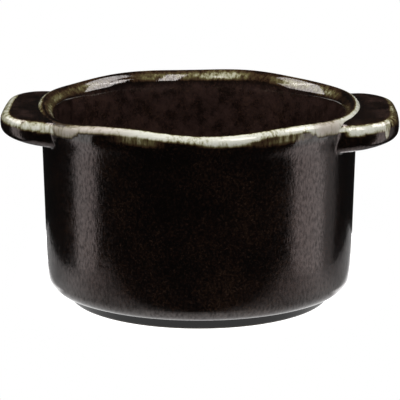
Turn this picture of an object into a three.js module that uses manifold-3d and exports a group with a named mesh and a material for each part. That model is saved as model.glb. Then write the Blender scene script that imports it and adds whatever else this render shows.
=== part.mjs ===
// Glazed stoneware ramekin: a cup with a thick uneven lip, a foot ring under its floor, and a slab
// handle luted to each side just below the lip.
// Millimetres, +Z up. The handles lie along X, the front is -Y, and the origin is on the table under
// the middle of the foot.

import * as THREE from "three";
import { mergeVertices } from "three/addons/utils/BufferGeometryUtils.js";
import Module from "manifold-3d";

// Cup
const height = 63.4; // table to the mean crest of the lip
const bodyRadius = 50; // outside of the wall, where it meets the lip
const wallLean = 1.3; // how far the wall draws in from there down to the heel
const wallThickness = 4.5;
const floorThickness = 5;
const heelRounding = 3.9; // outside, where the wall turns under
const basinRounding = 9; // inside, where the wall meets the floor

// Lip
const lipDepth = 12; // crest down to the top of the plain wall
const lipFlare = 1.6; // how far the lip stands out past the wall
const lipThickness = 4.6;
const lipCrown = 2.5; // rise of the rounded crest above the lip's widest line

// Unevenness of the hand-finished crest: waves round the lip, each with its rise and with the angle
// of its first high point, in degrees from the back towards the right
const lipWaves = [
  { lobes: 1, rise: 0.12, from: 90 },
  { lobes: 2, rise: 0.3, from: -13 },
  { lobes: 3, rise: 0.17, from: 60 },
  { lobes: 4, rise: 0.22, from: 22 },
  { lobes: 5, rise: 0.45, from: -6 },
  { lobes: 6, rise: 0.3, from: 26 },
];

// Foot ring
const footHeight = 3.9;
const footRadius = 41.6;
const footWidth = 5;
const footDraft = 0.6; // how much wider the ring is at the floor than on the table
const footRounding = 1;

// Handles
const handleReach = 13.2; // wall to tip
const handleTipWidth = 44.5; // front to back, near the tip
const handleRootWidth = 48.5; // front to back, at the wall
const handleDrop = 0.9; // lip's mean crest down to the handle's top at the tip
const handleFall = 0.8; // how far the top falls from the tip in to the wall
const handleTipDepth = 6.7; // top to underside at the tip
const handleThickening = 0.8; // how much deeper it is at the wall
const handleCorner = 13; // outline's corner rounding, seen from above
const handleBow = 1.8; // how far the tip's edge curves back on each side of its middle
const handleSkew = 1.3; // how far the tip's edge slants, nearer the wall at the back of the dish
const handleEdge = 2.8; // rounding all round the top and bottom edges
const handleFillet = 4.5; // fillet where the sides run into the wall
const luteGap = 0.3; // slip joint between a handle's root and the wall

// The right handle was pressed a little thicker, and each is set with its back edge up and its front
// edge down
const rightExtraDepth = 0.6;
const rightTilt = 0.5;
const leftTilt = 0.3;

// Fineness of the curved faces
const turnSteps = 64;
const curveSteps = 4;
const lipSteps = 5;
const mergeDistance = 0.001;

// Places that follow from the sizes above
const heelRadius = bodyRadius - wallLean;
const floorTop = footHeight + floorThickness;
const shoulderHeight = height - lipDepth;
const lipCentreHeight = height - lipCrown;
const lipCentreRadius = bodyRadius + lipFlare - lipThickness / 2;
const handleTop = height - handleDrop;
const handleTip = bodyRadius + handleReach;

const wasm = await Module();
wasm.setup();

// Closed geometry to a solid that can be cut, without the flat triangles at a lathe's poles
function toSolid(geometry) {
  const bare = geometry.clone();
  bare.deleteAttribute("normal");
  bare.deleteAttribute("uv");
  const merged = mergeVertices(bare, mergeDistance);
  const corners = merged.index.array;
  const triVerts = [];
  for (let i = 0; i < corners.length; i += 3) {
    const [a, b, c] = corners.slice(i, i + 3);
    if (a !== b && b !== c && c !== a) triVerts.push(a, b, c);
  }
  const vertProperties = merged.attributes.position.array;
  return new wasm.Manifold(
    new wasm.Mesh({ numProp: 3, vertProperties, triVerts: Uint32Array.from(triVerts) }),
  );
}

function toGeometry(solid) {
  const mesh = solid.getMesh();
  const geometry = new THREE.BufferGeometry();
  geometry.setAttribute("position", new THREE.BufferAttribute(mesh.vertProperties, 3));
  geometry.setIndex(new THREE.BufferAttribute(mesh.triVerts, 1));
  geometry.computeVertexNormals();
  return geometry;
}

// A profile of radius and height, turned round the vertical axis. Points that repeat where a line runs
// into an arc are dropped.
function turned(profile) {
  const points = profile.getPoints(curveSteps);
  const distinct = points.filter((point, i) => i === 0 || point.distanceTo(points[i - 1]) > mergeDistance);
  const geometry = new THREE.LatheGeometry(distinct, turnSteps);
  return geometry.rotateX(Math.PI / 2);
}

// Rise of the crest at an angle measured from the back towards the right
function crestRise(angle) {
  let rise = 0;
  for (const wave of lipWaves) {
    rise += wave.rise * Math.cos(wave.lobes * (angle - THREE.MathUtils.degToRad(wave.from)));
  }
  return rise;
}

// Lift the lip by its waves, fading to nothing at the top of the plain wall
function wavedLip(geometry) {
  const place = geometry.attributes.position;
  for (let i = 0; i < place.count; i += 1) {
    const onAxis = Math.hypot(place.getX(i), place.getY(i)) < mergeDistance;
    if (onAxis) continue;
    const share = THREE.MathUtils.smoothstep(place.getZ(i), shoulderHeight, lipCentreHeight);
    const rise = share * crestRise(Math.atan2(place.getX(i), place.getY(i)));
    place.setZ(i, place.getZ(i) + rise);
  }
  return geometry;
}

// Outside of the cup from its underside up to the lip's widest line, standing off it by a clearance
function drawOutside(profile, clearance) {
  const heelCentre = heelRadius - heelRounding;
  profile.moveTo(0, footHeight - clearance);
  profile.lineTo(heelCentre, footHeight - clearance);
  profile.absarc(heelCentre, footHeight + heelRounding, heelRounding + clearance, -Math.PI / 2, 0, false);
  profile.lineTo(bodyRadius + clearance, shoulderHeight);
  const lipRadius = lipCentreRadius + lipThickness / 2 + clearance;
  const bend = (lipCentreHeight - shoulderHeight) / 2;
  profile.bezierCurveTo(
    bodyRadius + clearance,
    shoulderHeight + bend,
    lipRadius,
    lipCentreHeight - bend,
    lipRadius,
    lipCentreHeight,
  );
}

function makeCup() {
  const profile = new THREE.Path();
  drawOutside(profile, 0);

  // Over the crest, and down the bevel inside the lip
  const half = lipThickness / 2;
  const crest = new THREE.EllipseCurve(lipCentreRadius, lipCentreHeight, half, lipCrown, 0, Math.PI);
  for (const point of crest.getPoints(2 * lipSteps).slice(1)) {
    profile.lineTo(point.x, point.y);
  }
  const throatRadius = bodyRadius - wallThickness;
  profile.quadraticCurveTo(throatRadius, lipCentreHeight - lipCrown, throatRadius, shoulderHeight);

  // Down the inside of the wall, round into the floor and in to the axis
  const basinCentre = heelRadius - wallThickness - basinRounding;
  profile.absarc(basinCentre, floorTop + basinRounding, basinRounding, 0, -Math.PI / 2, true);
  profile.lineTo(0, floorTop);
  return wavedLip(turned(profile));
}

// Everything inside the cup's outer surface and the slip joint round it, open upwards
function makeCupRoom() {
  const profile = new THREE.Path();
  drawOutside(profile, luteGap);
  const half = lipThickness / 2 + luteGap;
  const crown = lipCrown + luteGap;
  const shoulder = new THREE.EllipseCurve(lipCentreRadius, lipCentreHeight, half, crown, 0, Math.PI / 2);
  for (const point of shoulder.getPoints(lipSteps).slice(1)) {
    profile.lineTo(point.x, point.y);
  }
  profile.lineTo(lipCentreRadius, height + lipDepth);
  profile.lineTo(0, height + lipDepth);
  return wavedLip(turned(profile));
}

function makeFootRing() {
  const inner = footRadius - footWidth;
  const profile = new THREE.Path();
  profile.moveTo(inner - footDraft, footHeight);
  profile.lineTo(inner, footRounding);
  profile.absarc(inner + footRounding, footRounding, footRounding, Math.PI, 1.5 * Math.PI, false);
  profile.absarc(footRadius - footRounding, footRounding, footRounding, 1.5 * Math.PI, 2 * Math.PI, false);
  profile.lineTo(footRadius + footDraft, footHeight);
  profile.lineTo(inner - footDraft, footHeight);
  return turned(profile);
}

// Half of the handle's outline seen from above, from the middle of its root to the middle of its tip
function handleHalfOutline() {
  const side = handleTipWidth / 2;
  const root = handleRootWidth / 2;
  const outline = new THREE.Path();

  // Fillet tangent to the wall and to the handle's side
  const filletSide = root + handleFillet;
  const filletFar = Math.sqrt((bodyRadius + handleFillet) ** 2 - filletSide ** 2);
  const wallAngle = Math.PI + Math.atan2(filletSide, filletFar);
  const innerReach = filletFar - 2 * handleFillet - wallThickness;
  const meet = bodyRadius / (bodyRadius + handleFillet);
  outline.moveTo(innerReach, 0);
  outline.lineTo(innerReach, filletSide * meet);
  outline.absarc(filletFar, filletSide, handleFillet, wallAngle, 1.5 * Math.PI, false);
  outline.absarc(handleTip - handleCorner, side - handleCorner, handleCorner, Math.PI / 2, 0, true);
  outline.lineTo(handleTip, 0);
  return outline.getPoints(curveSteps);
}

// One handle, turned round the axis to its side and cut to fit against the wall. Tilt is how far its
// edge at the back of the dish is set up and the front one down.
function makeHandle(turn, tipDepth, tilt, cupRoom) {
  const half = handleHalfOutline();
  const mirrored = half.slice(1, -1).map((point) => new THREE.Vector2(point.x, -point.y));
  const outline = new THREE.Shape([...half.reverse(), ...mirrored]);
  const slab = new THREE.ExtrudeGeometry(outline, {
    depth: tipDepth - 2 * handleEdge,
    bevelThickness: handleEdge,
    bevelSize: handleEdge,
    bevelOffset: -handleEdge,
    bevelSegments: curveSteps,
  });
  slab.translate(0, 0, handleTop - tipDepth + handleEdge);

  // From the tip in to the wall the top falls a little and the underside falls more, and the tip bows
  const place = slab.attributes.position;
  const backSide = Math.cos(turn) * (handleTipWidth / 2);
  for (let i = 0; i < place.count; i += 1) {
    const below = (handleTop - place.getZ(i)) / tipDepth;
    const inward = (handleTip - place.getX(i)) / handleReach;
    const toBack = place.getY(i) / backSide;
    const fall = inward * (handleFall + below * handleThickening);
    place.setZ(i, place.getZ(i) - fall + tilt * toBack);
    const drawnIn = handleBow * toBack * toBack + handleSkew * toBack;
    place.setX(i, place.getX(i) - drawnIn * Math.max(0, 1 - inward));
  }
  slab.rotateZ(turn);
  return toGeometry(toSolid(slab).subtract(cupRoom));
}

// Brown-black glaze, and the thinner, browner glaze on the foot
const glazeColour = 0x1d1612;
const footGlazeColour = 0x3a322c;
const glazeRoughness = 0.3;
const footRoughness = 0.5;

function glazed(name, geometry, color, roughness) {
  const material = new THREE.MeshStandardMaterial({ color, roughness, metalness: 0 });
  const mesh = new THREE.Mesh(geometry, material);
  mesh.name = name;
  return mesh;
}

const ramekin = new THREE.Group();
const cupRoom = toSolid(makeCupRoom());
ramekin.add(glazed("cup_body", makeCup(), glazeColour, glazeRoughness));
ramekin.add(glazed("foot_ring", makeFootRing(), footGlazeColour, footRoughness));
const rightHandle = makeHandle(0, handleTipDepth + rightExtraDepth, rightTilt, cupRoom);
const leftHandle = makeHandle(Math.PI, handleTipDepth, leftTilt, cupRoom);
ramekin.add(glazed("right_handle", rightHandle, glazeColour, glazeRoughness));
ramekin.add(glazed("left_handle", leftHandle, glazeColour, glazeRoughness));

export default ramekin;
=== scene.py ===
"""A glazed stoneware ramekin with two slab handles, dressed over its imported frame."""

import math

import bpy
import mathutils
import numpy as np
from mathutils.kdtree import KDTree
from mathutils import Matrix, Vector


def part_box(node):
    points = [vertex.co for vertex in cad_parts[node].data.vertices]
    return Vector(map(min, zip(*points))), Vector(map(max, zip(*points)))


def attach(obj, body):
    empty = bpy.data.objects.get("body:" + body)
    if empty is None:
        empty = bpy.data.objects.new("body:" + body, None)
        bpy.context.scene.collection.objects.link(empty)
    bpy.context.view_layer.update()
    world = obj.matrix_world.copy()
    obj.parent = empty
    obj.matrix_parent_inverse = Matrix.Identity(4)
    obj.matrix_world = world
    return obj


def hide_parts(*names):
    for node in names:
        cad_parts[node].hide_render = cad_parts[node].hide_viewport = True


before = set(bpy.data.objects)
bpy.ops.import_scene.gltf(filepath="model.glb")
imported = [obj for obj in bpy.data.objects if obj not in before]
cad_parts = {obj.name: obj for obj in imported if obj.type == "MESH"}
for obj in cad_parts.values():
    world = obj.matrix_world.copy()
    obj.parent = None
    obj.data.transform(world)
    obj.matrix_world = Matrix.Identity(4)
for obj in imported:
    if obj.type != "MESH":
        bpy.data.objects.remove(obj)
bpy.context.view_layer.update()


# The cup
# Floor, wall and lip are one jiggered piece of dark stoneware, drawn in a little towards the heel.
# The lip is left thick and was wiped over by hand, so its crest runs up and down as it goes round.
MM = 0.001
CUP_LOW, CUP_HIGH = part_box("cup_body")
UNDERSIDE = CUP_LOW[2]
CREST = 63.4 * MM
WALL_RADIUS = 50 * MM
HEEL_RADIUS = 48.7 * MM
WALL_THICKNESS = 4.5 * MM
FLOOR_THICKNESS = 5 * MM
FLOOR_TOP = UNDERSIDE + FLOOR_THICKNESS
HEEL_ROUNDING = 3.9 * MM
BASIN_ROUNDING = 9 * MM
LIP_DEPTH = 12 * MM
LIP_RADIUS = CUP_HIGH[0]
LIP_THICKNESS = 4.6 * MM
LIP_CROWN = 2.5 * MM
SHOULDER = CREST - LIP_DEPTH
LIP_CENTRE_HEIGHT = CREST - LIP_CROWN
LIP_CENTRE_RADIUS = LIP_RADIUS - LIP_THICKNESS / 2
TURN_STEPS = 240
FLOOR_STEPS = 7
SAME_PLACE = 0.01 * MM

# The bevel inside the lip: its two ends and the pulls of its curves, as steps outwards and up
CREST_PULL = (-0.4 * MM, 0)
BEVEL_TOP = (-0.9 * MM, -0.35 * MM)
BEVEL_TOP_PULL = (-0.8 * MM, -0.77 * MM)
BEVEL_LOW = (-2.9 * MM, -3 * MM)
BEVEL_LOW_PULL = (0.49 * MM, 1.0 * MM)
THROAT_TOP_PULL = (-0.3 * MM, -0.61 * MM)
THROAT_LOW_PULL = (0, 5 * MM)

# Waves of the crest: lobes round the lip, rise, and the first high point in degrees from the back
LIP_WAVES = [
    (1, 0.12 * MM, 90),
    (2, 0.3 * MM, -13),
    (3, 0.17 * MM, 60),
    (4, 0.22 * MM, 22),
    (5, 0.45 * MM, -6),
    (6, 0.3 * MM, 26),
]

# Low humps that the wiping left on the crest at the back: middle and half width in degrees, and rise
CREST_HUMPS = [(-34, 27, 0.58 * MM), (17, 21, 0.4 * MM)]


def arc(centre, radii, start, end, steps):
    """Points of a profile along part of an ellipse, angles in degrees from outwards towards up."""
    angles = np.radians(np.linspace(start, end, steps + 1))
    return [(centre[0] + radii[0] * math.cos(a), centre[1] + radii[1] * math.sin(a)) for a in angles]


def curve(start, pull_a, pull_b, end, steps):
    """Points of a profile along a cubic curve, without its start."""
    points = []
    for t in np.linspace(0, 1, steps + 1)[1:]:
        weights = ((1 - t) ** 3, 3 * t * (1 - t) ** 2, 3 * t * t * (1 - t), t**3)
        corners = (start, pull_a, pull_b, end)
        points.append(tuple(sum(w * p[k] for w, p in zip(weights, corners)) for k in (0, 1)))
    return points


def line(start, end, steps):
    """Points of a profile along a straight stretch, without its start."""
    shares = np.linspace(0, 1, steps + 1)[1:]
    return [tuple(start[k] + (end[k] - start[k]) * t for k in (0, 1)) for t in shares]


def stepped(point, step):
    """A point of a profile, moved outwards and up by a step."""
    return (point[0] + step[0], point[1] + step[1])


def smooth_step(value, low, high):
    """0 below low, 1 above high and a smooth rise between."""
    t = np.clip((value - low) / (high - low), 0, 1)
    return t * t * (3 - 2 * t)


def smooth_fall(value, low, high):
    """1 below low, 0 above high and a smooth fall between."""
    return 1 - smooth_step(value, low, high)


def patch(bearing, middle, half, top=1):
    """A rounded patch on the way round: 1 at its middle, 0 past its ends, and flat where top is over 1."""
    return np.clip(top - ((bearing - middle) / half) ** 2, 0, 1)


def spin_profile(name, points, closed=False):
    """A profile of radius and height, drawn vertex by vertex and spun round the upright axis."""
    bpy.ops.object.select_all(action="DESELECT")
    bpy.ops.mesh.primitive_plane_add(size=MM, location=(points[0][0], 0, points[0][1]))
    piece = bpy.context.object
    piece.name = name
    piece.data.name = name
    bpy.ops.object.transform_apply(location=True, rotation=True, scale=True)
    bpy.ops.object.mode_set(mode="EDIT")
    bpy.ops.mesh.select_all(action="SELECT")
    bpy.ops.mesh.merge(type="CENTER")
    route = points + points[:1] if closed else points
    for before, after in zip(route, route[1:]):
        step = (after[0] - before[0], 0, after[1] - before[1])
        bpy.ops.mesh.extrude_vertices_move(TRANSFORM_OT_translate={"value": step})
    bpy.ops.mesh.select_all(action="SELECT")
    bpy.ops.mesh.spin(steps=TURN_STEPS, angle=2 * math.pi, center=(0, 0, 0), axis=(0, 0, 1))
    bpy.ops.mesh.select_all(action="SELECT")
    bpy.ops.mesh.remove_doubles(threshold=SAME_PLACE)
    bpy.ops.mesh.normals_make_consistent(inside=False)
    bpy.ops.object.mode_set(mode="OBJECT")
    bpy.ops.object.shade_smooth()
    return piece


def points_of(piece, kind="co"):
    """The mesh's points, or their normals, as rows of x, y, z."""
    flat = np.empty(len(piece.data.vertices) * 3)
    piece.data.vertices.foreach_get(kind, flat)
    return flat.reshape(-1, 3)


def put_points(piece, points):
    """Move the mesh's points to the places in these rows."""
    piece.data.vertices.foreach_set("co", points.ravel())
    piece.data.update()


def put_attribute(piece, name, values):
    """A number for each point that the glaze reads."""
    layer = piece.data.attributes.new(name, "FLOAT", "POINT")
    layer.data.foreach_set("value", np.asarray(values, dtype=np.float32))


def angle_of(points):
    """Each point's angle round the dish, from the back towards the right."""
    return np.arctan2(points[:, 0], points[:, 1])


def radius_of(points):
    """Each point's distance from the upright axis."""
    return np.hypot(points[:, 0], points[:, 1])


def crest_rise(angle):
    """How far the crest stands above its mean height at an angle."""
    total = sum(rise * np.cos(lobes * (angle - math.radians(high))) for lobes, rise, high in LIP_WAVES)
    for middle, half, rise in CREST_HUMPS:
        total = total + rise * patch(np.degrees(angle), middle, half) ** 2
    return total


def lip_rise(points):
    """How far the waves lift each point: fully in the lip's crown, and not at all below the shoulder."""
    return smooth_step(points[:, 2], SHOULDER, LIP_CENTRE_HEIGHT) * crest_rise(angle_of(points))


# Half the profile from the axis under the floor, round the heel, up the wall and over the lip
heel_centre = (HEEL_RADIUS - HEEL_ROUNDING, UNDERSIDE + HEEL_ROUNDING)
under = [(r, UNDERSIDE) for r in np.linspace(0, heel_centre[0], FLOOR_STEPS + 1)[:-1]]
outside = arc(heel_centre, (HEEL_ROUNDING, HEEL_ROUNDING), -90, 0, steps=10)
outside += line(outside[-1], (WALL_RADIUS, SHOULDER), steps=14)
lip_bend = (LIP_CENTRE_HEIGHT - SHOULDER) / 2
outside += curve(
    (WALL_RADIUS, SHOULDER),
    (WALL_RADIUS, SHOULDER + lip_bend),
    (LIP_RADIUS, LIP_CENTRE_HEIGHT - lip_bend),
    (LIP_RADIUS, LIP_CENTRE_HEIGHT),
    steps=12,
)
lip_centre = (LIP_CENTRE_RADIUS, LIP_CENTRE_HEIGHT)
over_lip = arc(lip_centre, (LIP_THICKNESS / 2, LIP_CROWN), 0, 90, steps=12)[1:]

# The other half, down the bevel and the throat, round the basin and in to the axis on the floor
crown = (LIP_CENTRE_RADIUS, CREST)
bevel_top = stepped(crown, BEVEL_TOP)
bevel_low = stepped(crown, BEVEL_LOW)
throat = (WALL_RADIUS - WALL_THICKNESS, SHOULDER)
bevel_pulls = (stepped(bevel_top, BEVEL_TOP_PULL), stepped(bevel_low, BEVEL_LOW_PULL))
throat_pulls = (stepped(bevel_low, THROAT_TOP_PULL), stepped(throat, THROAT_LOW_PULL))
inside = curve(over_lip[-1], stepped(crown, CREST_PULL), bevel_top, bevel_top, steps=5)
inside += curve(bevel_top, *bevel_pulls, bevel_low, steps=10)
inside += curve(bevel_low, *throat_pulls, throat, steps=10)
basin_centre = (HEEL_RADIUS - WALL_THICKNESS - BASIN_ROUNDING, FLOOR_TOP + BASIN_ROUNDING)
basin = arc(basin_centre, (BASIN_ROUNDING, BASIN_ROUNDING), 0, -90, steps=14)
inside += line(throat, basin[0], steps=14) + basin[1:]
floor = [(r, FLOOR_TOP) for r in np.linspace(basin_centre[0], 0, FLOOR_STEPS + 1)[1:]]
cup = spin_profile("glazed_cup", under + outside + over_lip + inside + floor)
cup_points = points_of(cup)
cup_points[:, 2] += lip_rise(cup_points)
cup_points[:, 2] = np.minimum(cup_points[:, 2], CUP_HIGH[2])
put_points(cup, cup_points)

# How the glaze broke over the lip. A pair of lengths is where a change begins and where it is complete.
# A patch is its bearing in degrees from the back, positive to the right, its half width and its top.

# On the outer rounding there is cream, which sags at the front and by the handles' front corners. By the
# right handle the lower cream is partly the glaze and partly a painted highlight, the gleam of the side
# light on the wall.
CREAM_STARTS = (0.1 * MM, 1.1 * MM)
CREAM_ENDS = (0.9 * MM, 2.85 * MM)
CREST_SHARE = 0.2
FRONT_SAG = 0.9 * MM
FRONT_SAG_PATCH = (167, 14)
JOINT_SAG_AND_SHEEN = 2 * MM
JOINT_SAG_AND_SHEEN_PATCH = (126, 9, 1.4)

# On the bevel there is olive, uneven in waves of so many lobes, a share and a shift, with two dark pools
BEVEL_TOP_SHARE = 0.2
BEVEL_GAIN = 0.2
BEVEL_STARTS = (0.2 * MM, 1.2 * MM)
BEVEL_ENDS = (1.9 * MM, 4.0 * MM)
BEVEL_MEAN = 0.94
BEVEL_WAVES = [(7, 0.28, 1.2), (13, 0.2, 0)]
BEVEL_POOLS = [(0.4, (78, 20, 1.2)), (0.35, (-44, 14, 1.2))]

# Below the cream it ran down in a few olive aprons
OLIVE_RUNS = [(-160, 13), (148, 17), (-118, 8), (38, 12), (-25, 16)]
APRON_SHARE = 0.36
APRON_CUT = 0.5
APRON_STARTS = (1.4 * MM, 3 * MM)
APRON_ENDS = (3.6 * MM, 5.6 * MM)

# It pools in the valley behind each handle, and stays thick on the crest in front of the left one
HANDLE_BEARING = 90
VALLEY_ENDS = (21, 28)
CREST_ENDS = (0.7 * MM, 1.5 * MM)
LEFT_VALLEY_CUT = 0.35
LEFT_FRONT_CUT = 0.75
LEFT_FRONT_PATCH = (-118, 26)


def thin_on_lip(points):
    """How thin the glaze lies: 1 is cream, about 0.4 is olive, and 0 is the full dark coat."""
    radius = radius_of(points)
    angle = angle_of(points)
    bearing = np.degrees(angle)
    below = CREST + crest_rise(angle) - points[:, 2]

    # The outer rounding
    sag = FRONT_SAG * patch(bearing % 360, *FRONT_SAG_PATCH)
    # By the handles' front corners the cream runs lower, by the right one partly as a painted highlight
    sag += JOINT_SAG_AND_SHEEN * patch(np.abs(bearing), *JOINT_SAG_AND_SHEEN_PATCH)
    outer = smooth_fall(below - sag, *CREAM_ENDS)
    outer *= CREST_SHARE + (1 - CREST_SHARE) * smooth_step(radius - LIP_CENTRE_RADIUS, *CREAM_STARTS)
    apron = sum(patch(bearing, *run) for run in OLIVE_RUNS)
    outer *= 1 - APRON_CUT * apron * smooth_step(below, *APRON_STARTS)
    outer = np.maximum(outer, APRON_SHARE * apron * smooth_fall(below, *APRON_ENDS))
    in_valley = smooth_fall(np.abs(np.abs(bearing) - HANDLE_BEARING), *VALLEY_ENDS)
    outer *= 1 - in_valley * smooth_step(below, *CREST_ENDS)
    outer *= 1 - LEFT_VALLEY_CUT * in_valley * (bearing < 0)
    outer *= 1 - LEFT_FRONT_CUT * patch(bearing, *LEFT_FRONT_PATCH) * smooth_fall(below, *CREST_ENDS)

    # The bevel
    inner = BEVEL_TOP_SHARE + BEVEL_GAIN * smooth_step(below, *BEVEL_STARTS)
    inner *= smooth_fall(below, *BEVEL_ENDS)
    waves = sum(share * np.sin(lobes * angle + shift) for lobes, share, shift in BEVEL_WAVES)
    inner *= BEVEL_MEAN + waves
    for cut, pool in BEVEL_POOLS:
        inner *= 1 - cut * patch(bearing, *pool)
    return np.where(radius > LIP_CENTRE_RADIUS, outer, inner)


# The cream has a rosy grey cast along the left of the front, and by the right handle, where the rosy grey
# is partly a painted highlight, the pinkish gleam of the side light on the wall.
ROSY_AND_SHEEN_PATCHES = [(-132, 26, 1.3), (126, 9, 1.2)]


def rosy_and_sheen_at(points):
    """How rosy the cream is at each point, by the right handle partly as a painted highlight."""
    bearing = np.degrees(angle_of(points))
    left, right = (patch(bearing, *place) for place in ROSY_AND_SHEEN_PATCHES)
    return np.maximum(left, right)


# The lip and, less so, the heel were wiped smooth, and the bowl has a browner coat below its lip
SMOOTH_LIP = (CREST - 6 * MM, CREST - 4 * MM)
SMOOTH_HEEL = (UNDERSIDE + 2 * MM, UNDERSIDE + 9 * MM)
HEEL_WIPE = 0.8
BOWL_RADIUS = LIP_CENTRE_RADIUS - 2 * MM
BOWL_LOW = FLOOR_TOP - 1 * MM
BOWL_COAT_STARTS = (2 * MM, 5 * MM)
smooth_lip = smooth_step(cup_points[:, 2], *SMOOTH_LIP)
smooth_heel = smooth_fall(cup_points[:, 2], *SMOOTH_HEEL)
in_bowl = (radius_of(cup_points) < BOWL_RADIUS) & (cup_points[:, 2] > BOWL_LOW)
put_attribute(cup, "glaze_thin", thin_on_lip(cup_points))
put_attribute(cup, "wiped_smooth", np.maximum(smooth_lip, HEEL_WIPE * smooth_heel))
put_attribute(cup, "rosy_cream_and_sheen", rosy_and_sheen_at(cup_points))
put_attribute(cup, "brown_coat", in_bowl * smooth_step(CREST - cup_points[:, 2], *BOWL_COAT_STARTS))


def new_material(name):
    """A new material and its tree of shader nodes."""
    material = bpy.data.materials.new(name)
    material.use_nodes = True
    return material, material.node_tree


def feed(tree, made, inputs):
    """Give a node's inputs, by name or number, constants or the outputs of other nodes."""
    for socket, value in inputs.items():
        if isinstance(value, bpy.types.NodeSocket):
            tree.links.new(value, made.inputs[socket])
        else:
            made.inputs[socket].default_value = value


def node(tree, kind, inputs=None, **settings):
    """A shader node with its settings and its inputs."""
    made = tree.nodes.new(kind)
    for key, value in settings.items():
        setattr(made, key, value)
    feed(tree, made, inputs or {})
    return made


def combine(tree, operation, *terms):
    """The result of a sum on outputs and constants."""
    return node(tree, "ShaderNodeMath", dict(enumerate(terms)), operation=operation).outputs[0]


def remap(tree, value, before, after):
    """A value carried from one range over to another, and held at its ends."""
    sockets = ("From Min", "From Max", "To Min", "To Max")
    inputs = dict(zip(sockets, (*before, *after)))
    return node(tree, "ShaderNodeMapRange", {"Value": value, **inputs}).outputs["Result"]


def ramp(tree, stops, source):
    """A colour ramp of (place, colour) stops, driven by an output."""
    made = node(tree, "ShaderNodeValToRGB", {"Fac": source})
    elements = made.color_ramp.elements
    while len(elements) < len(stops):
        elements.new(0.5)
    for element, (place, colour) in zip(elements, stops):
        element.position = place
        element.color = (*colour, 1)
    return made.outputs["Color"]


def mix_colours(tree, share, first, second, blend="MIX"):
    """Two colours mixed by a share, each of them an output or a constant."""
    inputs = {"Factor": share, 6: first, 7: second}
    return node(tree, "ShaderNodeMix", inputs, data_type="RGBA", blend_type=blend).outputs[2]


def noise(tree, place, scale, detail, roughness):
    """A cloudy pattern with so many grains to the metre."""
    inputs = {"Vector": place, "Scale": scale, "Detail": detail, "Roughness": roughness}
    return node(tree, "ShaderNodeTexNoise", inputs).outputs["Fac"]


def attribute(tree, name):
    """The number that put_attribute stored on the piece's points."""
    return node(tree, "ShaderNodeAttribute", attribute_name=name).outputs["Fac"]


def drawn_out(tree, place, squeeze):
    """Object coordinates squeezed in height, so that a pattern on them is drawn out downwards."""
    return node(tree, "ShaderNodeMapping", {"Vector": place, "Scale": (1, 1, squeeze)}).outputs["Vector"]


def linear(level):
    """One channel of a colour read off a screen, 0 to 255, as the linear level that a shader takes."""
    return level / 255 / 12.92 if level <= 10 else ((level / 255 + 0.055) / 1.055) ** 2.4


def rgb(red, green, blue):
    """A colour read off a screen, as the linear colour that a shader takes."""
    return tuple(linear(level) for level in (red, green, blue))


# The dark glaze with its rust and olive speckle, and the coat that breaks through where it lies thin
DARK_STOPS = [
    (0.58, rgb(8, 6, 5)),
    (0.74, rgb(14, 9, 7)),
    (0.86, rgb(32, 20, 14)),
    (0.97, rgb(42, 30, 21)),
]
BREAK_STOPS = [
    (0.10, rgb(22, 15, 10)),
    (0.20, rgb(58, 40, 27)),
    (0.30, rgb(74, 61, 40)),
    (0.42, rgb(112, 104, 68)),
    (0.56, rgb(176, 173, 144)),
    (0.78, rgb(210, 208, 189)),
    (0.98, rgb(230, 229, 216)),
]
BLACK = (0, 0, 0)
WHITE = (1, 1, 1)
COVER_STOPS = [(0.05, BLACK), (0.22, WHITE)]
BROWN_COAT = (*rgb(58, 42, 38), 1)
ROSY_CAST = (0.68, 0.61, 0.6, 1)
GLOSS_STOPS = [(0, (1, 0.78, 0.74)), (1, (1, 0.94, 0.91))]
GLAZE_IOR = 1.6

# Grains to the metre, detail and roughness of each pattern in the glaze
SPECKLE = (1400, 3, 0.6)
SPECKLE_PATCHES = (55, 4, 0.6)
BLOTCHES = (260, 4, 0.65)
WANDER = (75, 3, 0.6)
STREAKS = (800, 4, 0.7)
FLECKS = (1500, 2, 0.6)
PEBBLES = (260, 2, 0.5)
STREAK_SQUEEZE = 0.25
FLECK_SQUEEZE = 0.45

# How strongly each pattern tells
PATCH_WEIGHT = 0.5
BLOTCH_RANGE = (0.36, 0.64)
BLOTCH_SHARE = (0.2, 1)
WANDER_WEIGHT = 1.2
STREAK_WEIGHT = 2.6
STREAK_SHIFT = -0.88
FLECK_RANGE = (0.42, 0.68)
FLECK_ROUGHNESS = (0.12, 0.27)
SHINE_RANGE = (0.35, 0.68)
FLECK_SHINE = (0.66, 0.28)
WIPE_WEIGHT = -0.7
SATIN_SHARE = 0.3
FLECK_DEPTH = 0.04 * MM
PEBBLE_DEPTH = 0.06 * MM


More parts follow.
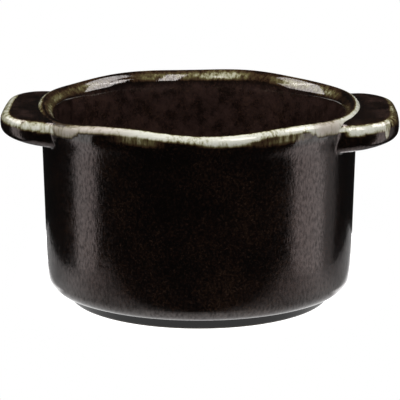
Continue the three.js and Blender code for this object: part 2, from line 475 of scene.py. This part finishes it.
def glaze_material(name):
    """Brown-black semi-gloss glaze with fine speckle, breaking to olive and cream where it lies thin."""
    material, tree = new_material(name)
    place = node(tree, "ShaderNodeTexCoord").outputs["Object"]

    # Speckle of rust and olive in the dark glaze, in broad patches, and a blotchy browner coat
    patches = noise(tree, place, *SPECKLE_PATCHES)
    speckle = combine(tree, "MULTIPLY_ADD", patches, PATCH_WEIGHT, noise(tree, place, *SPECKLE))
    dark = ramp(tree, DARK_STOPS, speckle)
    blotch = remap(tree, noise(tree, place, *BLOTCHES), BLOTCH_RANGE, BLOTCH_SHARE)
    coat_share = combine(tree, "MULTIPLY", attribute(tree, "brown_coat"), blotch)
    coat = mix_colours(tree, coat_share, dark, BROWN_COAT, "ADD")

    # How thin the glaze lies, varying round the dish and in short streaks that ran down
    streak = noise(tree, drawn_out(tree, place, STREAK_SQUEEZE), *STREAKS)
    streak = combine(tree, "MULTIPLY_ADD", streak, STREAK_WEIGHT, STREAK_SHIFT)
    vary = combine(tree, "MULTIPLY_ADD", noise(tree, place, *WANDER), WANDER_WEIGHT, streak)
    thin = combine(tree, "MULTIPLY", attribute(tree, "glaze_thin"), vary)
    rosy = attribute(tree, "rosy_cream_and_sheen")
    breaking = mix_colours(tree, rosy, ramp(tree, BREAK_STOPS, thin), ROSY_CAST, "MULTIPLY")
    cover = ramp(tree, COVER_STOPS, thin)

    # Semi-gloss with fine matt flecks drawn out downwards, satin on the rosy cream, smoother where wiped
    fleck = noise(tree, drawn_out(tree, place, FLECK_SQUEEZE), *FLECKS)
    wiped = attribute(tree, "wiped_smooth")
    texture = combine(tree, "MULTIPLY_ADD", wiped, WIPE_WEIGHT, 1)
    satin = combine(tree, "MULTIPLY", rosy, combine(tree, "MULTIPLY", cover, SATIN_SHARE))
    flecked = combine(tree, "MULTIPLY", remap(tree, fleck, FLECK_RANGE, FLECK_ROUGHNESS), texture)
    shine = remap(tree, fleck, SHINE_RANGE, FLECK_SHINE)

    # A pebbled and slightly uneven surface
    pebble = noise(tree, place, *PEBBLES)
    bump = {"Height": fleck, "Distance": FLECK_DEPTH, "Strength": texture}
    fine = node(tree, "ShaderNodeBump", bump).outputs["Normal"]
    bump = {"Height": pebble, "Distance": PEBBLE_DEPTH, "Strength": texture, "Normal": fine}
    surface = {
        "Base Color": mix_colours(tree, cover, coat, breaking),
        "Roughness": combine(tree, "ADD", flecked, satin),
        "Specular IOR Level": combine(tree, "SUBTRACT", shine, satin),
        "Specular Tint": ramp(tree, GLOSS_STOPS, wiped),
        "Normal": node(tree, "ShaderNodeBump", bump).outputs["Normal"],
        "IOR": GLAZE_IOR,
    }
    feed(tree, tree.nodes["Principled BSDF"], surface)
    return material


glaze = glaze_material("dark_reactive_glaze")
cup.data.materials.append(glaze)
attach(cup, "root")
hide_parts("cup_body")


# The foot ring
# A low ring of the same clay under the floor, dipped with the cup but wiped clean where it stands,
# so that the pale fired clay shows on the table side.
FOOT_LOW, FOOT_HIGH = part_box("foot_ring")
FOOT_TOP_RADIUS = FOOT_HIGH[0]
FOOT_DRAFT = 0.6 * MM
FOOT_RADIUS = FOOT_TOP_RADIUS - FOOT_DRAFT
FOOT_WIDTH = 5 * MM
FOOT_ROUNDING = 1 * MM
WIPED_ENDS = (0.15 * MM, 0.5 * MM)
foot_inner = FOOT_RADIUS - FOOT_WIDTH
rounding_top = FOOT_LOW[2] + FOOT_ROUNDING
rounding = (FOOT_ROUNDING, FOOT_ROUNDING)
foot_profile = line((foot_inner - FOOT_DRAFT, UNDERSIDE), (foot_inner, rounding_top), steps=3)
foot_profile += arc((foot_inner + FOOT_ROUNDING, rounding_top), rounding, 180, 270, steps=6)[1:]
foot_profile += arc((FOOT_RADIUS - FOOT_ROUNDING, rounding_top), rounding, 270, 360, steps=6)
foot_profile += line((FOOT_RADIUS, rounding_top), (FOOT_TOP_RADIUS, UNDERSIDE), steps=4)
foot_profile += [(foot_inner - FOOT_DRAFT, UNDERSIDE)]
foot = spin_profile("foot_ring_clay", foot_profile, closed=True)
put_attribute(foot, "wiped_clean", smooth_fall(points_of(foot)[:, 2], *WIPED_ENDS))

# Thin dark glaze on the sides, bare buff clay with a few dark grains on the standing face
CLAY_GRAINS = (900, 3, 0.6)
CLAY_STOPS = [(0.3, rgb(128, 108, 86)), (0.42, rgb(186, 166, 138)), (0.7, rgb(204, 187, 160))]
FOOT_GLAZE = (*rgb(9, 7, 6), 1)
FOOT_ROUGHNESS = (0.2, 0.85)
FOOT_IOR = 1.36
clay, clay_tree = new_material("foot_glaze_and_clay")
clay_place = node(clay_tree, "ShaderNodeTexCoord").outputs["Object"]
bare = ramp(clay_tree, CLAY_STOPS, noise(clay_tree, clay_place, *CLAY_GRAINS))
cleaned = attribute(clay_tree, "wiped_clean")
clay_surface = {
    "Base Color": mix_colours(clay_tree, cleaned, FOOT_GLAZE, bare),
    "Roughness": remap(clay_tree, cleaned, (0, 1), FOOT_ROUGHNESS),
    "IOR": FOOT_IOR,
}
feed(clay_tree, clay_tree.nodes["Principled BSDF"], clay_surface)
foot.data.materials.append(clay)
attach(foot, "root")
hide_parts("foot_ring")


# The handles
# Each is a slab of clay pressed to shape, its edges rounded, luted to the wall under the lip with slip.
# The joint is worked over with a wet finger, which draws slab, wall and lip together.
HANDLE_TIP = 63.2 * MM
HANDLE_TOP = CREST - 1.05 * MM
HANDLE_ROOT = 42 * MM
HANDLE_TIP_WIDTH = 44.5 * MM
HANDLE_ROOT_WIDTH = 48.5 * MM
HANDLE_CORNER = 13 * MM
HANDLE_EDGE = 2.8 * MM
HANDLE_GRAIN = 0.5 * MM
CORNER_SEGMENTS = 14
EDGE_SEGMENTS = 8

# Towards its root a slab falls and thickens, its front edge rises, and its upper half spreads out
HANDLE_FALL = 0.8 * MM
HANDLE_THICKENING = 0.8 * MM
FRONT_RISE = 0.4 * MM
ROOT_LIMIT = 1.4
HANDLE_FILLET = 5 * MM
FILLET_REACH = 0.765 * HANDLE_FILLET
FILLET_TURN = 0.875
FILLET_ENDS = (0.25, 0.6)

# The two were shaped by hand, and differ in depth, in tilt and in the outline of the tip
HANDLE_DEPTH = {"right": 7.75 * MM, "left": 7.1 * MM}
HANDLE_TILT = {"right": 0.5 * MM, "left": -0.3 * MM}
HANDLE_SKEW = {"right": 1.3 * MM, "left": -0.5 * MM}
HANDLE_BOW = {"right": 1.8 * MM, "left": 1.2 * MM}
TIP_TRIM = {"right": 0, "left": 0.65 * MM}

# Their cream differs too: its strength, how far it runs down the side, and how olive and broad it is at
# the tip. On the right one a drop ran down at the front corner, at so many degrees round it.
TOP_CREAM_ENDS = (0.2 * MM, 2.5 * MM)
SIDE_CREAM_ENDS = (1.2 * MM, 3 * MM)
TIP_STARTS = (0.55 * HANDLE_CORNER, 0.95 * HANDLE_CORNER)
EDGE_SHARE = {"right": 0.96, "left": 0.88}
TIP_COVER = {"right": 0.68, "left": 0.45}
TIP_SPREAD = {"right": 2 * MM, "left": 3.2 * MM}
SIDE_RUN = {"right": 0.7 * MM, "left": 0.5 * MM}
CORNER_RUN = {"right": 3 * MM, "left": 0}
CORNER_RUN_PATCH = (42, 6.5)

# The sector of wall and lip that is worked into the joint, and the finger's reach and strokes
COLLAR_LOW = 40 * MM
COLLAR_DEPTH = 2.2 * MM
COLLAR_HALF = math.radians(42)
COLLAR_ROUND = 120
COLLAR_UP = 60
ROOT_RADIUS = WALL_RADIUS - 0.8 * COLLAR_DEPTH
SKIN_LOW = 30 * MM
FINGER_REACH = 4 * MM
FINGER_STROKES = 14
FINGER_FACTOR = 0.5
FINGER_ENDS = (2.5 * MM, 4.5 * MM)

# Away from the slab the worked skin slips under the wall in two steps: how deep, and from where to where
SINKS = [(0.1 * MM, (4 * MM, 7 * MM)), (0.5 * MM, (7 * MM, 11 * MM))]

# Where the slab's thin glaze ends and the lip's takes over, and the dark hollow of the right joint
SLAB_GLAZE_ENDS = (0.6 * MM, 3 * MM)
LIP_GLAZE_STARTS = (1 * MM, 3 * MM)
HOLLOW_ENDS = (0.3 * MM, 3.5 * MM)
HOLLOW_STARTS = (2.3 * MM, 3.4 * MM)

# Clouds of the browner coat on what is turned up
TURNED_UP = (0.5, 0.95)
CLOUD_SIZE = 7 * MM
CLOUD_EDGE = (-0.3, 0.35)
CLOUD_STARTS = (0.5 * MM, 5 * MM)
CLOUD_SHARE = 0.7
CLEAR_SHARE = 0.04

skin_line = np.array([p for p in outside if p[1] > SKIN_LOW] + over_lip)


def cup_skin(points):
    """How far each point stands off the cup's outer face, and which way the face looks there."""
    radius = radius_of(points)
    height = points[:, 2] - lip_rise(points)
    start, step = skin_line[:-1], np.diff(skin_line, axis=0)
    length = np.linalg.norm(step, axis=1)
    gap = np.stack([radius, height], axis=1)[:, None, :] - start[None]
    along = np.clip(np.sum(gap * step[None], axis=2) / length**2, 0, 1)
    gap -= along[:, :, None] * step[None]
    nearest = np.argmin(np.sum(gap**2, axis=2), axis=1)
    looks = np.stack([step[:, 1], -step[:, 0]], axis=1) / length[:, None]
    out, up = looks[nearest].T
    off = np.sum(gap[np.arange(len(points)), nearest] * looks[nearest], axis=1)
    return off, np.stack([out * points[:, 0] / radius, out * points[:, 1] / radius, up], axis=1)


def pick_edges(piece, wanted):
    """Go into edit mode with only the edges selected whose two ends pass a test."""
    bpy.ops.object.mode_set(mode="EDIT")
    bpy.ops.mesh.select_mode(type="EDGE")
    bpy.ops.mesh.select_all(action="DESELECT")
    bpy.ops.object.mode_set(mode="OBJECT")
    points = points_of(piece)
    for edge in piece.data.edges:
        a, b = (points[i] for i in edge.vertices)
        edge.select = bool(wanted(a, b))
    bpy.ops.object.mode_set(mode="EDIT")


def even_skin(piece):
    """An even skin of small faces, which can be pushed about like clay."""
    skin = piece.modifiers.new("even_skin", "REMESH")
    skin.mode = "VOXEL"
    skin.voxel_size = HANDLE_GRAIN
    bpy.ops.object.modifier_apply(modifier=skin.name)
    bpy.ops.object.mode_set(mode="EDIT")
    bpy.ops.mesh.select_all(action="SELECT")
    bpy.ops.mesh.vertices_smooth(factor=0.5, repeat=3)
    bpy.ops.object.mode_set(mode="OBJECT")


def slab(name, depth):
    """A rounded slab lying along +X from inside the wall to the handle's tip, level all over."""
    length = HANDLE_TIP - HANDLE_ROOT
    centre = (HANDLE_ROOT + length / 2, 0, HANDLE_TOP - depth / 2)
    size = (length, HANDLE_TIP_WIDTH, depth)
    bpy.ops.object.select_all(action="DESELECT")
    bpy.ops.mesh.primitive_cube_add(size=1, location=centre, scale=size)
    piece = bpy.context.object
    piece.name = name
    piece.data.name = name
    bpy.ops.object.transform_apply(location=True, rotation=True, scale=True)

    # Round the two upright corners at the tip, then every edge of the top and the underside
    pick_edges(piece, lambda a, b: abs(a[2] - b[2]) > MM and a[0] > HANDLE_TIP - MM)
    bpy.ops.mesh.bevel(offset=HANDLE_CORNER, segments=CORNER_SEGMENTS, profile=0.5)
    pick_edges(piece, lambda a, b: abs(a[2] - b[2]) < SAME_PLACE and max(a[0], b[0]) > HANDLE_ROOT + MM)
    bpy.ops.mesh.bevel(offset=HANDLE_EDGE, segments=EDGE_SEGMENTS, profile=0.5)
    bpy.ops.object.mode_set(mode="OBJECT")
    even_skin(piece)
    return piece


def thin_on_slab(points, side, turn):
    """The glaze lies thin along the top's edge, and part of the way down the side below it."""
    straight = HANDLE_TIP_WIDTH / 2 - HANDLE_CORNER
    corner_x = np.maximum(points[:, 0] - (HANDLE_TIP - HANDLE_CORNER), 0)
    corner_y = np.maximum(np.abs(points[:, 1]) - straight, 0)
    from_edge = HANDLE_CORNER - np.hypot(corner_x, corner_y)
    at_tip = smooth_step(corner_x, *TIP_STARTS)
    on_top = smooth_fall(from_edge - TIP_SPREAD[side] * at_tip, *TOP_CREAM_ENDS)
    round_corner = np.degrees(np.arctan2(-points[:, 1] * math.cos(turn) - straight, corner_x))
    run = SIDE_RUN[side] + CORNER_RUN[side] * patch(round_corner, *CORNER_RUN_PATCH)
    on_side = smooth_fall(HANDLE_TOP - points[:, 2] - run, *SIDE_CREAM_ENDS)
    return EDGE_SHARE[side] * on_top * on_side * (1 - TIP_COVER[side] * at_tip)


def press(piece, side, turn):
    """Press the slab to its true shape with its root inside the wall, and carry it to its side."""
    points = points_of(piece)
    below = (HANDLE_TOP - points[:, 2]) / HANDLE_DEPTH[side]
    inward = np.clip((HANDLE_TIP - points[:, 0]) / (HANDLE_TIP - WALL_RADIUS), 0, ROOT_LIMIT)
    outward = np.maximum(0, 1 - inward)
    points[:, 1] *= 1 + (HANDLE_ROOT_WIDTH / HANDLE_TIP_WIDTH - 1) * inward
    aside = points[:, 1] / (HANDLE_TIP_WIDTH / 2)
    front = np.clip(-aside * math.cos(turn), 0, 1)
    points[:, 2] += HANDLE_TILT[side] * aside - inward * (HANDLE_FALL + below * HANDLE_THICKENING)
    points[:, 2] += FRONT_RISE * front * inward * (1 - below)
    points[:, 0] -= (HANDLE_BOW[side] * aside**2 + HANDLE_SKEW[side] * aside) * outward
    points[:, 0] -= TIP_TRIM[side] * outward

    # The slab's upper half spreads in a hollow curve where it meets the wall
    reach = FILLET_TURN * (1 - np.clip((radius_of(points) - WALL_RADIUS) / FILLET_REACH, 0, 1))
    spread = HANDLE_FILLET * (1 - np.sqrt(1 - reach**2)) * smooth_fall(below, *FILLET_ENDS)
    points[:, 1] *= 1 + spread / (HANDLE_ROOT_WIDTH / 2)
    points[:, :2] *= np.maximum(1, ROOT_RADIUS / radius_of(points))[:, None]
    points[:, :2] *= math.cos(turn)
    put_points(piece, points)


def collar(turn):
    """The sector of wall and lip round a handle's root, as thick as the root goes in."""
    bpy.ops.object.select_all(action="DESELECT")
    bpy.ops.mesh.primitive_grid_add(x_subdivisions=COLLAR_ROUND, y_subdivisions=COLLAR_UP, size=2)
    piece = bpy.context.object
    points = points_of(piece)
    wanted = skin_line[skin_line[:, 1] > COLLAR_LOW]
    run = np.concatenate([[0], np.cumsum(np.linalg.norm(np.diff(wanted, axis=0), axis=1))])
    share = (points[:, 1] + 1) / 2 * run[-1]
    radius = np.interp(share, run, wanted[:, 0])
    angle = turn + points[:, 0] * COLLAR_HALF
    points[:, 0] = radius * np.cos(angle)
    points[:, 1] = radius * np.sin(angle)
    points[:, 2] = np.interp(share, run, wanted[:, 1])
    points[:, 2] += lip_rise(points)
    put_points(piece, points)
    depth = piece.modifiers.new("depth", "SOLIDIFY")
    depth.thickness = COLLAR_DEPTH
    depth.offset = -1
    bpy.ops.object.modifier_apply(modifier=depth.name)
    return piece


def work_joint(piece, turn, thin):
    """Draw slab and wall together with a wet finger, and slip the skin past the joint under the wall."""
    near = KDTree(len(thin))
    for i, point in enumerate(points_of(piece)):
        near.insert(point, i)
    near.balance()
    collar(turn)
    piece.select_set(True)
    bpy.context.view_layer.objects.active = piece
    bpy.ops.object.join()
    even_skin(piece)

    # The finger's strokes are strongest in the corner between the slab's top and the cup
    points = points_of(piece)
    found = [near.find(point) for point in points]
    away = np.array([hit[2] for hit in found])
    off, way = cup_skin(points)
    stroke = smooth_fall(np.abs(off), 0, FINGER_REACH) * smooth_fall(away, 0, FINGER_REACH)
    stroke *= smooth_fall(HANDLE_TOP - points[:, 2], *FINGER_ENDS)
    joint = piece.vertex_groups.new(name="joint")
    for i, weight in enumerate(stroke):
        joint.add([i], float(weight), "REPLACE")
    finger = piece.modifiers.new("wet_finger", "SMOOTH")
    finger.factor = FINGER_FACTOR
    finger.iterations = FINGER_STROKES
    finger.vertex_group = joint.name
    bpy.ops.object.modifier_apply(modifier=finger.name)
    bpy.ops.object.shade_smooth()
    points = points_of(piece)
    sink = sum(depth * smooth_step(away, *ends) for depth, ends in SINKS)
    put_points(piece, points - way * sink[:, None])

    # The thin glaze of the slab's edge runs out into that of the lip
    by_lip = smooth_step(away, *LIP_GLAZE_STARTS)
    from_slab = np.array([thin[hit[1]] for hit in found]) * smooth_fall(away, *SLAB_GLAZE_ENDS)
    in_hollow = (turn == 0) * smooth_fall(off, *HOLLOW_ENDS)
    from_slab *= 1 - in_hollow * smooth_step(HANDLE_TOP - points[:, 2], *HOLLOW_STARTS)
    put_attribute(piece, "glaze_thin", np.maximum(from_slab, thin_on_lip(points) * by_lip))
    put_attribute(piece, "wiped_smooth", from_slab)
    # The rosy grey runs in from the lip, by the right joint partly a painted highlight
    put_attribute(piece, "rosy_cream_and_sheen", rosy_and_sheen_at(points) * by_lip)

    # The browner coat lies in clouds on the slab's top
    turned_up = smooth_step(points_of(piece, "normal")[:, 2], *TURNED_UP)
    drift = np.array([mathutils.noise.noise(mathutils.Vector(point) / CLOUD_SIZE) for point in points])
    cloud = smooth_step(drift, *CLOUD_EDGE) * smooth_step(off, *CLOUD_STARTS)
    put_attribute(piece, "brown_coat", turned_up * (CLEAR_SHARE + CLOUD_SHARE * cloud))


for side, turn in (("right", 0), ("left", math.pi)):
    handle = slab(side + "_slab_handle", HANDLE_DEPTH[side])
    slab_thin = thin_on_slab(points_of(handle), side, turn)
    press(handle, side, turn)
    work_joint(handle, turn, slab_thin)
    handle.data.materials.append(glaze)
    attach(handle, "root")
    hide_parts(side + "_handle")


# The stage
# A small plinth of white paper under the dish, which gives the glaze's mirror a painted glow, in a white
# surround that the glaze hardly mirrors.
# A tall soft light stands low on each side, one hangs overhead, and cards make the gleams on the lip.
PLINTH_WIDTH = 176 * MM
PLINTH_DEPTH = 150 * MM
PLINTH_MIDDLE = (0, 5 * MM, -0.1 * MM)
PAPER_COLOUR = (0.8, 0.8, 0.8, 1)
LAMP_WHITE = (1, 1, 1, 1)
bpy.ops.object.select_all(action="DESELECT")
bpy.ops.mesh.primitive_plane_add(size=1, location=PLINTH_MIDDLE)
plinth = bpy.context.object
plinth.name = "white_plinth"
plinth.scale = (PLINTH_WIDTH, PLINTH_DEPTH, 1)
bpy.ops.object.transform_apply(location=True, rotation=True, scale=True)

# How bright the paper's painted glow is in the glaze's mirror: pairs of levels, and from where to where
# they change.
# This painted light is brightest round the foot and under the handles, dimmer behind, and dark along its
# front edge.
FOOT_LEVELS = (1.5, 0.95)
FOOT_FADE = (46 * MM, 60 * MM)
BACK_LEVELS = (1, 0.45)
BACK_FADE = (-20 * MM, 5 * MM)
CORNER_LEVELS = (0, 0.4)
CORNER_SIDE = (20 * MM, 45 * MM)
CORNER_FADE = (-50 * MM, -30 * MM)
EDGE_FADE = (-69 * MM, -55 * MM)
HANDLE_LEVEL = 2.8
HANDLE_NEAR = (36 * MM, 44 * MM)
HANDLE_FAR = (56 * MM, 64 * MM)
HANDLE_FADE = (-18 * MM, -8 * MM)


def mix_shaders(tree, share, first, second):
    """Two shaders mixed by a share."""
    return node(tree, "ShaderNodeMixShader", {"Fac": share, 1: first, 2: second}).outputs[0]


def painted_glow_of_paper(tree, place):
    """How bright the paper's painted glow is in the glaze's mirror at each place."""
    flat = node(tree, "ShaderNodeSeparateXYZ", {0: place}).outputs
    aside = combine(tree, "ABSOLUTE", flat["X"])
    from_middle = node(tree, "ShaderNodeVectorMath", {0: place}, operation="LENGTH").outputs["Value"]
    by_foot = remap(tree, from_middle, FOOT_FADE, FOOT_LEVELS)
    level = combine(tree, "MULTIPLY", by_foot, remap(tree, flat["Y"], BACK_FADE, BACK_LEVELS))
    at_side = remap(tree, aside, CORNER_SIDE, CORNER_LEVELS)
    at_corner = combine(tree, "MULTIPLY", at_side, remap(tree, flat["Y"], CORNER_FADE, (1, 0)))
    level = combine(tree, "SUBTRACT", level, at_corner)
    level = combine(tree, "MULTIPLY", level, remap(tree, flat["Y"], EDGE_FADE, (0, 1)))
    rise = remap(tree, aside, HANDLE_NEAR, (0, HANDLE_LEVEL))
    fall = remap(tree, aside, HANDLE_FAR, (HANDLE_LEVEL, 0))
    under_handles = combine(tree, "MINIMUM", rise, fall)
    by_handles = combine(tree, "MULTIPLY", under_handles, remap(tree, flat["Y"], HANDLE_FADE, (0, 1)))
    return combine(tree, "MAXIMUM", level, by_handles)


paper, paper_tree = new_material("white_paper_painted_glow")
paper_tree.nodes.clear()
paper_ray = node(paper_tree, "ShaderNodeLightPath").outputs
paper_place = node(paper_tree, "ShaderNodeTexCoord").outputs["Object"]
# The paper glows with painted light for reflected rays, and shows plain white to the eye
mirrored = painted_glow_of_paper(paper_tree, paper_place)
strength = combine(paper_tree, "MAXIMUM", mirrored, paper_ray["Is Camera Ray"])
glow = node(paper_tree, "ShaderNodeEmission", {"Color": LAMP_WHITE, "Strength": strength}).outputs[0]
lit = node(paper_tree, "ShaderNodeBsdfDiffuse", {"Color": PAPER_COLOUR}).outputs[0]
looked_at = combine(paper_tree, "MAXIMUM", paper_ray["Is Camera Ray"], paper_ray["Is Glossy Ray"])
node(paper_tree, "ShaderNodeOutputMaterial", {"Surface": mix_shaders(paper_tree, looked_at, lit, glow)})
plinth.data.materials.append(paper)

# The surround is white to the eye, grey as a light, and nearly black in the glaze's mirror
SURROUND_SEEN = 1
SURROUND_LEVEL = 0.3
SURROUND_GLOSS = 0.01
world = bpy.data.worlds.new("studio")
bpy.context.scene.world = world
world.use_nodes = True
sky = world.node_tree
sky.nodes.clear()
sky_ray = node(sky, "ShaderNodeLightPath").outputs
seen, even, dim = (
    node(sky, "ShaderNodeBackground", {"Color": LAMP_WHITE, "Strength": level}).outputs[0]
    for level in (SURROUND_SEEN, SURROUND_LEVEL, SURROUND_GLOSS)
)
for_gloss = mix_shaders(sky, sky_ray["Is Glossy Ray"], even, dim)
for_eye = mix_shaders(sky, sky_ray["Is Camera Ray"], for_gloss, seen)
node(sky, "ShaderNodeOutputWorld", {"Surface": for_eye})


def soft_light(name, place, aim, width, height, watts, roll=0):
    """A rectangular soft light at a place, turned to face a point, and rolled about its own axis."""
    bpy.ops.object.light_add(type="AREA", location=place)
    lamp = bpy.context.object
    lamp.name = name
    lamp.data.shape = "RECTANGLE"
    lamp.data.size = width
    lamp.data.size_y = height
    lamp.data.energy = watts
    away = np.array(place) - np.array(aim)
    flat = math.hypot(away[0], away[1])
    lamp.rotation_euler = (math.atan2(flat, away[2]), 0, math.atan2(away[0], -away[1]))
    lamp.rotation_euler.rotate_axis("Z", math.radians(roll))
    return lamp


# The strips make the two tall gleams on the wall, and the overhead light only fills
soft_light("left_strip", (-0.5, -0.009, -0.18), (0, 0, -0.18), 0.18, 0.44, 0.31, roll=-14)
soft_light("right_strip", (0.5, -0.009, -0.17), (0, 0, -0.17), 0.27, 0.44, 0.52, roll=5)
overhead = soft_light("overhead", (0, -0.15, 0.8), (0, 0, 0.04), 0.6, 0.5, 6)
overhead.visible_glossy = False

# Cards that are only mirrored, most of them in the lip: name, place, aim, width, height and watts
BOWL_AIM = (0, 0.04, 0.06)
CARDS = [
    ("left_card", (-0.6, 0.14, 0.47), BOWL_AIM, 0.6, 0.3, 2.7),
    ("right_card", (0.6, 0.1, 0.47), BOWL_AIM, 0.36, 0.26, 1.7),
    ("front_right_card", (0.24, -0.33, 0.62), BOWL_AIM, 0.16, 0.42, 1.5),
    ("right_upper_card", (0.55, -0.06, 0.6), BOWL_AIM, 0.14, 0.14, 0.5),
    ("right_high_card", (0.44, 0.18, 0.645), BOWL_AIM, 0.32, 0.24, 1.3),
    ("left_high_card", (-0.44, 0.18, 0.645), BOWL_AIM, 0.32, 0.24, 1.15),
    ("right_low_card", (0.467, 0.179, -0.19), (0, 0, -0.19), 0.11, 0.44, 0.05),
    ("front_left_card", (-0.17, -0.36, 0.68), BOWL_AIM, 0.1, 0.12, 0.14),
]
for card in CARDS:
    soft_light(*card).visible_diffuse = False


# The camera
# A long lens a metre away, a little above the rim and a degree or two round to the right.
EYE_DISTANCE = 1.0
EYE_RISE = math.radians(13.9)
EYE_TURN = math.radians(2.4)
AIM_HEIGHT = 31.08 * MM
AIM_SIDE = 0.3 * MM
PIXELS_PER_METRE = 3120
PICTURE_WIDTH = 400
SENSOR = 36
right_hand = np.array([math.cos(EYE_TURN), math.sin(EYE_TURN), 0])
aim = right_hand * AIM_SIDE + np.array([0, 0, AIM_HEIGHT])
level_back = np.array([math.sin(EYE_TURN), -math.cos(EYE_TURN), 0])
back = math.cos(EYE_RISE) * level_back + math.sin(EYE_RISE) * np.array([0, 0, 1])
lens = bpy.data.cameras.new("long_lens")
lens.sensor_width = SENSOR
lens.lens = SENSOR * PIXELS_PER_METRE * EYE_DISTANCE / PICTURE_WIDTH
eye = bpy.data.objects.new("long_lens", lens)
bpy.context.scene.collection.objects.link(eye)
eye.location = tuple(aim + EYE_DISTANCE * back)
eye.rotation_euler = (math.pi / 2 - EYE_RISE, 0, EYE_TURN)
bpy.context.scene.camera = eye
bpy.context.scene.view_settings.view_transform = "Standard"
